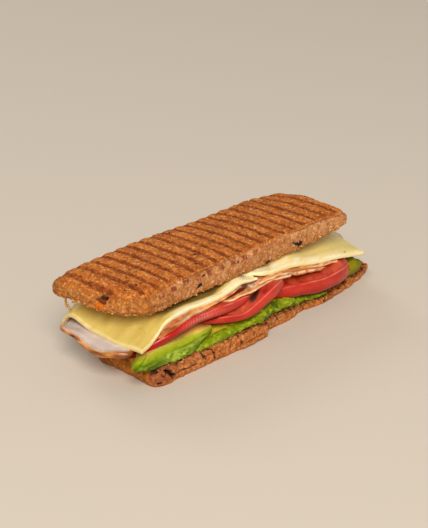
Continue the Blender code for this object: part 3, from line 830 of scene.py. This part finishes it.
AVOCADOS = [
    ("avocado_2", 6, (-46, -38), (34.5, 31), -34.8, 28, 10),
    ("avocado_4", 6, (56.5, 57), (92.5, 90), -30, 26, 11),
    ("avocado_3", 6, (35, 30.5), (55.5, 56.5), -31.6, 27.5, 12),
    ("avocado_5", 3, (103, 84.5), (134, 125), -30, 24, 13),
    ("avocado_1", 7, (-97.5, -73), (-23, -26), -35.4, 29, 14),
]
# Where the green of the long wedge begins and ends, seen against its near side
WEDGE_HIGH = 23.6
WEDGE_LOW = [(-96, 18.5), (-80, 15.6), (-60, 12.5), (-49, 11.5), (-40, 15), (-27, 20)]


def make_avocado(name, power, left, right, near, far, seed):
    plan, spans = oval_plan(left, right, near, far, power, seed)
    wedge, smooth = name == "avocado_1", name == "avocado_5"
    lip, bulge = (0.5, 0.3) if wedge else (1.4, 1.2)
    shell = Shell(plan, spans, fitted_heights(name), cell=0.7, rows=14, lip=lip, bulge=bulge, belly=2.4)
    u, v, w, edge = shell.u, shell.v, shell.w, shell.edge
    x, y = shell.points[:, 0], shell.points[:, 1]
    raised = (w + 1) / 2
    mashed = 0 if smooth else 1
    if wedge:
        nearness = slope(v, -0.55, -0.45)
        y += 4.2 * raised * nearness
        x += 15 * raised * slope(v, 0.3, -1.3) * slope(u, -0.55, -0.45)
        mashed = bump_at(x, -56, 15) * rise(raised, 0.62, -0.15) * nearness

    def relief(p):
        side = rise(edge, 0.8, 0.15)
        lumps = crumble(p, (4, 2.4, 2), 90 + seed)
        fine = crumble(p, (1.6, 1, 0.9), 95 + seed, 2)
        pulled = 0.8 * mashed * wedge * (1 + 0.9 * crumble(p, (3, 2, 1.2), 108, 2))
        return side * mashed * (0.8 + 0.3 * wedge) * (lumps + 0.6 * fine) + 0.12 * lumps + pulled

    def tint(p):
        if smooth:
            # Painted highlight: the smooth slice is yellower towards its left end
            return paint(cloud(p, (112, 106, 0), (136, 126, 2), 0.5, 0.5, 9, 99),
                         ((186, 176, 50), 0.7 * rise(p[:, 0], 106, -8)))
        # Green is darker towards the foot of the wall; pale patches over it are painted highlights
        green = paint(srgb(70, 90, 0), ((122, 136, 2), ease(raised * 1.5)),
                      ((184, 192, 48), 0.6 * ease(crumble(p, (2.4, 1.4, 1.2), 97, 2) * 1.5)))
        flesh = paint(srgb(196, 172, 44), ((216, 162, 74), rise(edge, 0.9, -0.3)))
        if not wedge:
            rough = crumble(p, (4, 2.4, 2), 90 + seed)
            # Painted shade in the hollows of the lumps, then the flesh colour on the top near the rim
            return paint(green, ((62, 80, 0), 0.75 * ease(-rough * 1.8)),
                         (flesh, rise(edge, 0.965, -0.08) * shell.top))
        low = profile(WEDGE_LOW, p[:, 0])
        band = (seen_from(p)[1] - low) / (WEDGE_HIGH - low) + 0.1 * crumble(p, (9, 4, 3), 98)
        streak = crumble(p, (16, 1.5, 1.2), 103)
        open_face = rise(p[:, 0], -86, 9)
        back = paint(green, (flesh, rise(edge, 0.94, -0.05) * shell.top))
        pulp = cloud(p, (176, 190, 66), (92, 118, 6), 0.4, 0.9, (3, 1.6, 1.2), 104, 2)
        return paint(srgb(62, 84, 0), ((98, 122, 0), rise(band, 0.05, 0.4)),
                     ((164, 172, 28), rise(band, 0.5, 0.32)),
                     ((216, 178, 88), open_face * rise(band, 0.96, 0.28)),
                     # Painted shade: orange brown at the top of the open face, under the tomato
                     ((206, 140, 60), 0.7 * open_face * rise(band, 1.25, 0.3)),
                     ((168, 182, 40), 0.45 * ease(streak * 1.8) * rise(band, 1, -0.4)),
                     ((66, 92, 0), 0.35 * ease(-streak * 1.8) * rise(band, 1, -0.4)),
                     (back, rise(v, -0.2, 0.5)), (pulp, 0.9 * mashed))

    piece(name + "_slice", [name], avocado_look, shell.points, shell.faces, relief, tint)


# Tomato: name, left, right, near, far

TOMATOES = [
    ("tomato_3", (33, 33), (129, 118), -35.4, 33, 20),
    ("tomato_2", (-47, -34), (58, 42), -38, 33.5, 21),
    ("tomato_1", (-93, -76), (27, 9), -35.6, 34, 22),
]
# Middle of the place where two slices part, as seen, which is painted dark as its shadow
TOMATO_GAP_SHADOW = (12.6, 31.4)


def make_tomato(name, left, right, near, far, seed):
    plan, spans = oval_plan(left, right, near, far, 2.5, seed)
    shell = Shell(plan, spans, fitted_heights(name), cell=0.8, rows=16, lip=0.5, bulge=0.7, belly=2.8)
    u, v, w, edge = shell.u, shell.v, shell.w, shell.edge
    first = name == "tomato_1"
    x = shell.points[:, 0]
    if name != "tomato_2":
        x -= (4 if first else 6.5) * (slope(v, -0.3, -0.7) * slope(u, -0.5, -0.5))
    if first:
        x += 8 * rise(x, -14, 22) * slope(v, -0.1, -0.6)
    striped = first * bump_at(x, -40, 13) * shell.wall

    def stripes_at(p):
        return np.sin(p[:, 0] * 5.2 + 2 * grain(p, 3, 105))

    def relief(p):
        stripes = 0.1 * striped * stripes_at(p)
        wet = shell.top * 0.22 * crumble(p, 3.5, 106)
        return 0.2 * crumble(p, 9, 100 + seed) + 0.05 * crumble(p, 2, 104 + seed) + stripes + wet

    def tint(p):
        line = 0.5 + 0.5 * stripes_at(p)
        # Painted highlight along the lip of each wall
        lip = bump_at(w, 0.92, 0.1) * shell.wall
        flesh = cloud(p, (200, 82, 50), (160, 32, 12), 0.5, 0.8, 4, 110 + seed)
        # Painted shadow: near black red where two slices part, beneath the turkey
        right, up = (seen - middle for seen, middle in zip(seen_from(p), TOMATO_GAP_SHADOW))
        along, aside = right * 0.9 + up * 0.44, up * 0.9 - right * 0.44
        gap_shadow = bump_at(along, 0, 6.2) * bump_at(aside, 0.4, mix(4, 2.2, clamp(along / 8 + 0.5)))
        return paint(cloud(p, (206, 56, 34), (178, 28, 14), 0.5, 0.8, (14, 10, 5), 107 + seed),
                     # Painted shade: each wall darkens towards its foot, and the first slice's left part is
                     # deep red where the cheese shades it
                     ((150, 12, 4), 0.7 * rise(w, 0, -0.8)), ((174, 0, 0), first * rise(p[:, 0], -46, -14)),
                     # Painted highlights: pale pink along the fine stripes of the first slice, and along the
                     # lip
                     ((236, 150, 140), 0.75 * striped * line * bump_at(w, 0.25, 0.5)),
                     ((240, 150, 122), lip * clamp(0.45 + 0.6 * crumble(p, 7, 113)) * (p[:, 0] > -40)),
                     (flesh, shell.top * rise(edge, 0.992, -0.02)),
                     ((44, 10, 4), ease(gap_shadow * 1.7 - 0.3) * (name != "tomato_3")))

    piece(name + "_slice", [name], tomato_look, shell.points, shell.faces, relief, tint)


# Turkey: name, left, right, near, far

TURKEYS = [
    ("turkey_4", (46, 48), (129, 129), -31.6, 34, 30),
    ("turkey_2", (-30, -28), (80, 76), -33.4, 33, 31),
    ("turkey_3", (1, 12), (101, 93), -33.2, 34, 32),
    ("turkey_1", (-98, -100.5), (16, 7), -32.5, 39, 33),
]
# Underside and thickness of the drooping left edge of the first slice, by y
DROOP = [(-26, 24.3), (-20, 22.9), (-14, 21.7), (-7, 21.8), (0, 22.5), (7, 23.4), (14, 25.4), (20, 26.8),
         (25, 27.8), (34, 29.4)]
DROOP_THICK = [(-26, 3), (-20, 4), (-14, 3.6), (-7, 2.8), (3, 2.2), (11, 1.5), (16, 1.1), (30, 1.1)]
# How far a slice's near edge stands back at its right, from which x on, and over which width
RECESS = {"turkey_2": (10, 46, 14), "turkey_3": (7, 90, 12), "turkey_4": (8, 98, 8)}


def make_turkey(name, left, right, near, far, seed):
    plan, spans = oval_plan(left, right, near, far, 3.6, seed)
    taken = heights_from(name, 2.6)
    first = name == "turkey_1"

    def heights(x, y, u, v):
        high, low = taken(x, y, u, v)
        if first:
            out = rise(x, -86.5, -11)
            thick_left = profile(DROOP_THICK, y)
            high = high + out * (profile(DROOP, y[0]) + profile(DROOP_THICK, y[0]) - high[0])[None, :]
            high = fit(high, x, y, v, CHEESE_LOW, -0.3, -78)
            thick = 1.7 + 2.2 * rise(x, -26, -8) + 3.6 * bump_at(x, -62, 16) * rise(v, -0.3, -0.5)
            low = high - mix(thick_left, thick, rise(x, -86, 10))
        if name == "turkey_2":
            low = fit(low, x, y, v, MEAT_LOW, 0.1)
            high = low + mix(1.4, 2.5, rise(x, -30, 10)) - 1.2 * rise(x, 44, 12)
        if name == "turkey_3":
            low = fit(low, x, y, v, MEAT_LOW, 2.6 - 2.3 * rise(x[:, 0], 42, 12))
            room = profile(CHEESE_LOW, x) - profile(MEAT_LOW, x) - 2.5
            high = low + mix(mix(1.4, 2.9, rise(x, 2, 10)), np.maximum(room, 1), rise(x, 42, 12))
        if name == "turkey_4":
            high = fit(even_out(high, x, 9), x, y, v, CHEESE_LOW, -0.3)
            low = high - 2.3
        return np.maximum(high, low + 1), low

    shell = Shell(plan, spans, heights, cell=0.9, rows=8, lip=0.3, bulge=0.3, belly=3)
    u, v, w, edge = shell.u, shell.v, shell.w, shell.edge
    x, y, z = shell.points.T
    near_part = slope(v, -0.4, -0.6)
    if first:
        y = y + 5 * near_part * rise(x, -68, -6) * rise(x, -92, 9)
        x = x - 3 * bump_at(y, 28, 8) * rise(x, -82, -8)
    else:
        depth, start, width = RECESS[name]
        y = y + depth * near_part * rise(x, start, width)
    wavy = rise(edge, 0.9, 0.1) * (v < -0.5)
    y = y + 0.7 * wavy * grain(shell.points, (9, 20, 4), 119 + seed)
    z = z + 0.35 * wavy * grain(shell.points, (7, 20, 9), 121 + seed)
    if name == "turkey_4":
        out = rise(x, 108, 18) * bump_at(y, -3, 12)
        z, x = z + 3 * out, x + 3.5 * out
    points = np.stack([x, y, z], -1)

    def relief(p):
        ragged = 0.4 * rise(edge, 0.9, 0.1) * crumble(p, (5, 5, 2), 118 + seed)
        return 0.12 * crumble(p, 4, 114 + seed) + ragged

    def tint(p):
        x = p[:, 0]
        # The near part's browned colour, with pale spots over it as painted glints
        cooked_with_glints = paint(cloud(p, (226, 158, 92), (176, 90, 34), 0.5, 0.9, (4, 3, 2), 136),
                       ((255, 232, 200), 0.8 * ease(crumble(p, (3, 1.6, 1.6), 137) * 2 - 0.5)))
        meat = paint(cloud(p, (204, 184, 170), (186, 160, 146), 0.5, 0.8, (7, 12, 7), 120 + seed),
                     ((218, 202, 190), 0.5 * ease(crumble(p, 3, 124 + seed) * 1.6)),
                     ((210, 166, 112), 0.8 * rise(edge, 0.955, 0.03)),
                     # Painted light: the face is lighter at the first slice's left end, against the shade of
                     # the cheese
                     ((224, 210, 206), 0.55 * rise(x, -84, -5) * rise(edge, 0.955, -0.03)),
                     (cooked_with_glints, 0.85 * (rise(v, -0.55, -0.3) * (not first))))
        left, wide = first * rise(x, -76, -8), first * bump_at(x, -62, 20)
        bright = paint(srgb(250, 176, 84), ((214, 138, 62), left), ((206, 122, 60), wide))
        brown = paint(srgb(192, 102, 30), ((128, 68, 24), left), ((152, 74, 30), wide))
        # A pale stripe along the middle of the near rim: partly the pale meat between browned layers, partly
        # painted sheen
        pale_meat_and_sheen = bump_at(w, 0.1, 0.34) * mix(0.55, 1, rise(x, -24, 20)) * shell.wall * (v < -0.9)
        pale_meat_and_sheen = pale_meat_and_sheen * rise(x, -62, 20) * (0.8 + 0.7 * crumble(p, (4, 4, 1.5), 131))
        split = bump_at(w, -0.1, 0.16) * shell.wall * (u < -0.9) * first
        rim = paint(blend(bright, brown, 0.5 + 0.9 * crumble(p, (5, 5, 1.2), 128 + seed)),
                    ((255, 240, 206), clamp(pale_meat_and_sheen)), ((120, 56, 16), 0.8 * split))
        browned = rise(edge, mix(0.99, 0.974, 0.5 + 0.5 * grain(p, 6, 130)), 0.01)
        ends = first * (rise(x, -97, 8) * rise(x, -70, -8) * (v < -0.5))
        colour = paint(meat, (rim, browned), ((120, 56, 18), 0.7 * ends * browned))
        seen_x, seen_z = seen_from(p)
        if name == "turkey_3":
            floor, ceiling = profile(MEAT_LOW, seen_x), profile(CHEESE_LOW, seen_x)
            share = (seen_z - floor) / np.maximum(ceiling - floor, 1) + 0.07 * crumble(p, (8, 6, 3), 133)
            # Stripes of the stacked slices as seen: pale cream is pale meat with painted glints, and the thin
            # dark line is painted shade between two slices
            band = paint(srgb(214, 116, 50), ((206, 128, 54), rise(share, 0.4, 0.2)),
                         ((250, 214, 170), bump_at(share, 0.33, 0.13) * ease(0.7 + crumble(p, 3, 135))),
                         ((140, 64, 22), 0.9 * bump_at(share, 0.56, 0.06)))
            colour = paint(colour, (band, rise(seen_x, 42, 8) * (v < -0.5)))
        # Painted shadow: a dark red slit on the tops where the slices part under the cheese
        slit_shadow = bump_at(seen_x, -9, 14) * bump_at(seen_z, 39.6 + 0.03 * (seen_x + 9), 1.7)
        slit_shadow = slit_shadow * shell.top * rise(edge, 0.985, -0.01) * (not first)
        return paint(colour, ((110, 22, 8), ease(slit_shadow * 2.6 - 0.4)))

    piece(name + "_slice", [name], turkey_look, points, shell.faces, relief, tint)


# Cheese: name, left, right, near, far

CHEESES = [
    ("cheese_2", -3, 127.5, -31.5, 36, 40),
    ("cheese_1", -89, 17, -31, 38, 42),
]
# How thick a slice is, and how far the two change heights where one lies over the other
CHEESE_THICK, CROSSING = 2.9, 3.2


def make_cheese(name, left, right, near, far, seed):
    """The left slice's end goes under the right one, which thins out over it as it melts."""
    plan = cheese_plan(left, right, near, far, seed)
    first = name == "cheese_1"
    taken = heights_from(name, 2.8)

    def heights(x, y, u, v):
        low = taken(x, y, u, v)[1]
        left_thick = mix(CHEESE_THICK, 1, rise(x, 1, 15))
        if first:
            low = fit(low - CROSSING * rise(x, -8, 8), x, y, v, CHEESE_LOW)
            return low + left_thick, low
        low = even_out(low + CROSSING * rise(x, 20, -8), x, 9)
        low = fit(low, x, y, v, CHEESE_LOW, (left_thick * rise(x, 21, -5))[:, 0])
        return low + mix(0.6, CHEESE_THICK, rise(x, 4, 20)), low

    shell = Shell(plan, (right - left, far - near), heights, cell=0.8, rows=8, lip=0.4, bulge=0, belly=3)
    v, edge = shell.v, shell.edge
    x, y, z = shell.points.T
    if first:
        far_corner = rise(x, -70, -14) * bump_at(y, 28, 9)
        x -= 2.2 * far_corner
        z += 2.2 * far_corner
    else:
        y += 9 * rise(x, 25, -17) * slope(v, -0.3, -0.7)
    torn = rise(x, 10, 4) * first * rise(edge, 0.9, 0.1)

    def relief(p):
        streaks = crumble(p, (22, 2.2, 3), 134 + seed)
        return 0.12 * streaks + 0.12 * crumble(p, 12, 137 + seed) + 1.4 * torn * crumble(p, 2.2, 139)

    def tint(p):
        x = p[:, 0]
        from_near = (v + 1) * (far - near) / 2 + 1.3 * crumble(p, (24, 3, 8), 150)
        # Painted light and shade: the top face is painted lit cream up to the reach from the near edge, and
        # dark brown beyond it as the upper bread's shadow
        reach = np.minimum(mix(9, 3.4, slope(x, 20, 90)), mix(4, 9, rise(x, -24, 34)))
        # Painted shadow of the upper bread, beyond the reach
        under = rise(from_near, reach, 1.4) * rise(x, -70, 12) * rise(x, 12, -24)
        streak = ease(crumble(p, (26, 1.6, 2), 144 + seed) * 1.6 - 0.1)
        face = paint(cloud(p, (221, 195, 106), (205, 175, 86), 0.5, 0.6, (20, 5, 6), 140 + seed),
                     ((234, 212, 134), 0.6 * (not first)), ((236, 214, 146), 0.6 * streak * (not first)),
                     ((92, 56, 20), 0.8 * under * shell.top))
        # Painted light: the top face near the near edge gets the cream of the cut edge. The cut edge is
        # partly its own paler cream, partly painted highlight
        lit = rise(from_near, reach, -mix(1.6, 3.5, rise(x, -20, 30))) * rise(x, -66, 14) * shell.top
        at_edge = rise(edge, 0.98, 0.015) * mix(0.35, 0.9, rise(x, -84, 20))
        cut_and_lit_cream = cloud(p, (255, 243, 204), (246, 220, 150), 0.5, 0.8, (9, 3, 0.8), 147 + seed)
        return paint(face, (cut_and_lit_cream, np.maximum(at_edge, 0.95 * lit)))

    piece(name + "_slice", [name], cheese_look, shell.points, shell.faces, relief, tint)


# Bits and specks: centre, half sizes, turn, colour

BLACK, DARK, PEPPER, PALE = srgb(28, 22, 16), srgb(66, 32, 14), srgb(226, 116, 4), srgb(222, 178, 124)
BITS = [
    ((-93.6, -3.6, 52), (1.9, 3.4, 2), -20, PEPPER),
    ((-93, -1, 53.4), (1.4, 1.6, 1.5), 10, srgb(196, 92, 14)),
    ((-92.2, -4.6, 55), (1.8, 3.4, 1.7), 30, srgb(134, 56, 12)),
    ((-91.2, -5.6, 56.7), (1.6, 2.6, 1.1), 20, srgb(58, 26, 10)),
    ((-90.6, -7.4, 57.4), (1, 0.8, 0.8), 0, BLACK),
    ((-91, -4.4, 57.3), (0.9, 1, 0.7), 0, BLACK),
    ((-91.8, -6.4, 55.9), (0.8, 0.8, 0.7), 0, srgb(188, 112, 50)),
    ((-94.6, 4.4, 52.8), (1, 1.8, 0.9), 0, BLACK),
    ((-95.2, 2.4, 51.8), (0.9, 0.9, 0.6), 0, PALE),
    ((-94.4, 1, 53.2), (0.9, 1, 0.7), 0, BLACK),
    ((-74, -15.8, 63.1), (1.5, 0.8, 0.5), 10, BLACK),
    ((-76.9, -14.4, 62.3), (0.9, 0.7, 0.5), -10, DARK),
    ((-72, -17, 63.4), (0.8, 0.6, 0.4), 0, DARK),
    ((-33.8, -28.4, 53.3), (2.3, 0.9, 1.1), -24, BLACK),
    ((-36.4, -28.2, 54.6), (0.8, 0.7, 0.6), 0, BLACK),
    ((57.4, -28.3, 52.4), (2.6, 1, 1.2), 12, BLACK),
    ((61.4, -28.3, 51.6), (2.3, 1, 1.6), -20, BLACK),
    ((54.6, -28.3, 54), (0.9, 0.7, 0.7), 0, BLACK),
    ((30, -28.3, 48.2), (1.9, 0.9, 0.8), -20, DARK),
    ((-19.2, -28.5, 54), (0.8, 0.5, 0.8), 0, BLACK),
    ((1.3, -28.3, 57.4), (0.7, 0.5, 0.9), 0, DARK),
    ((-30, -28.3, 58.4), (1.5, 0.6, 0.5), -18, BLACK),
    ((112.2, -24.6, 51.6), (1.4, 1.4, 1), 0, DARK),
    ((-74.3, -12.6, 15), (1.7, 1.7, 0.9), 0, srgb(172, 34, 10)),
    ((-73.6, -34.6, 3.4), (2.9, 0.9, 0.9), 8, BLACK),
    ((-76.2, -32.6, 10.8), (2.6, 1.2, 1), 30, DARK),
]
PIPE = [(-95.5, 24.6, 49.4), (-95.5, 25.4, 47.8), (-95.5, 25.6, 46.2), (-95.5, 25.4, 44.6),
        (-95.5, 24.6, 43.2), (-95.5, 23.4, 42.4), (-95.5, 22.4, 41.6)]


def make_bits(crown, crown_spots):
    pick = np.random.default_rng(9)
    rows = []
    for centre, sizes, turn, colour in BITS:
        rows.append((centre, sizes, turn, colour))
        for _ in range(4):
            aside = (pick.random(3) - 0.5) * 2.6 * np.array(sizes)
            tone = mix(colour, srgb(150, 88, 40), 0.4 * pick.random())
            small = np.array(sizes) * (0.15 + 0.3 * pick.random(3))
            rows.append((centre + aside * (1, 0.4, 1), small, 360 * pick.random(), tone))
    lumps("olive_bits", olive_look, rows, 3, 0.4, 160)
    rows = []
    for place in pick.choice(np.flatnonzero(crown_spots), 34, replace=False):
        size = mix(0.35, 0.85, pick.random() ** 2) * (0.6 + 0.8 * pick.random(3)) * (1.3, 1, 0.5)
        rows.append((crown[place], size, 60 * pick.random() - 30, (BLACK, DARK, PALE)[pick.integers(3)]))
    lumps("crust_specks", crumb_look, rows, 2, 0.35, 163)
    thread = [(place, (0.75, 0.6, 1.25), 25 * number - 20, srgb(214, 156, 84))
              for number, place in enumerate(PIPE)]
    lumps("crumb_thread", crumb_look, thread, 2, 0.25, 161)
    specks = [((-76.6, -11.4, 34.9), 0.45), ((-75.2, -18.8, 35), 0.5), ((-75.7, -23.6, 34.1), 0.4),
              ((-78.4, -14.6, 34.4), 0.35), ((-84.4, 21.7, 35.9), 0.5), ((-72, -20.4, 36), 0.3)]
    rows = [(place, (size, size * 0.8, size * 0.35), 40, srgb(150, 104, 40)) for place, size in specks]
    rows.append(((107.3, -30, 31), (0.7, 0.5, 0.4), 0, srgb(150, 164, 40)))
    lumps("cheese_specks", crumb_look, rows, 2, 0.2, 162)


crown, crown_spots = make_upper_bread()
make_lower_bread()
for make, rows in ((make_avocado, AVOCADOS), (make_tomato, TOMATOES), (make_turkey, TURKEYS),
                   (make_cheese, CHEESES)):
    for row in rows:
        make(*row)
make_bits(crown, crown_spots)


# Camera at the photograph's angle

AZIMUTH, ELEVATION = math.radians(-46.23), math.radians(24.4)
AIM = np.array([80.09, 67.93, 0])
DISTANCE = 1049.48
FOCAL_PIXELS, FRAME_PIXELS = 1450, 528
SENSOR = 36


def make_camera():
    back = Vector((math.sin(AZIMUTH) * math.cos(ELEVATION), -math.cos(AZIMUTH) * math.cos(ELEVATION),
                   math.sin(ELEVATION)))
    right = Vector((math.cos(AZIMUTH), math.sin(AZIMUTH), 0))
    camera = bpy.data.objects.new("camera", bpy.data.cameras.new("camera"))
    matrix = Matrix((right, back.cross(right), back)).transposed().to_4x4()
    matrix.translation = Vector((AIM + SHIFT) * MM) + back * DISTANCE * MM
    camera.matrix_world = matrix
    camera.data.sensor_fit = "VERTICAL"
    camera.data.sensor_height = SENSOR
    camera.data.lens = FOCAL_PIXELS / FRAME_PIXELS * SENSOR
    camera.data.clip_start, camera.data.clip_end = 0.05, 20
    bpy.context.scene.collection.objects.link(camera)
    bpy.context.scene.camera = camera


# In metres
FLOOR_REACH = 6.0


def make_floor():
    mesh = bpy.data.meshes.new("floor")
    corners = [(x, y, 0) for x, y in ((-1, -1), (1, -1), (1, 1), (-1, 1))]
    mesh.from_pydata((np.array(corners) * FLOOR_REACH).tolist(), [], [(0, 1, 2, 3)])
    material = bpy.data.materials.new("floor")
    material.use_nodes = True
    shader = material.node_tree.nodes["Principled BSDF"]
    shader.inputs["Base Color"].default_value = (0.662, 0.57, 0.464, 1)
    shader.inputs["Roughness"].default_value = 0.7
    shader.inputs["Specular IOR Level"].default_value = 0.2
    mesh.materials.append(material)
    floor = bpy.data.objects.new("floor", mesh)
    bpy.context.scene.collection.objects.link(floor)


def make_light(name, place, size, watts, colour):
    """A round lamp that shines on the sandwich. Place and size are in metres."""
    data = bpy.data.lights.new(name, "AREA")
    data.shape = "DISK"
    data.size = size
    data.energy = watts
    data.color = colour
    lamp = bpy.data.objects.new(name, data)
    lamp.location = place
    lamp.rotation_mode = "QUATERNION"
    lamp.rotation_quaternion = (Vector((0, 0, 0.03)) - Vector(place)).to_track_quat("-Z", "Y")
    bpy.context.scene.collection.objects.link(lamp)


def make_lights():
    world = bpy.data.worlds.new("studio")
    world.use_nodes = True
    sky = world.node_tree.nodes["Background"]
    sky.inputs["Color"].default_value = (1, 0.985, 0.96, 1)
    sky.inputs["Strength"].default_value = 0.36
    bpy.context.scene.world = world
    make_light("key", (-1.7, -1.8, 2.1), 1.5, 98, (1, 0.985, 0.96))
    make_light("back", (0.3, 2.4, 1.8), 1.2, 14, (1, 0.99, 0.97))


make_camera()
make_floor()
make_lights()
bpy.context.scene.view_settings.view_transform = "Standard"
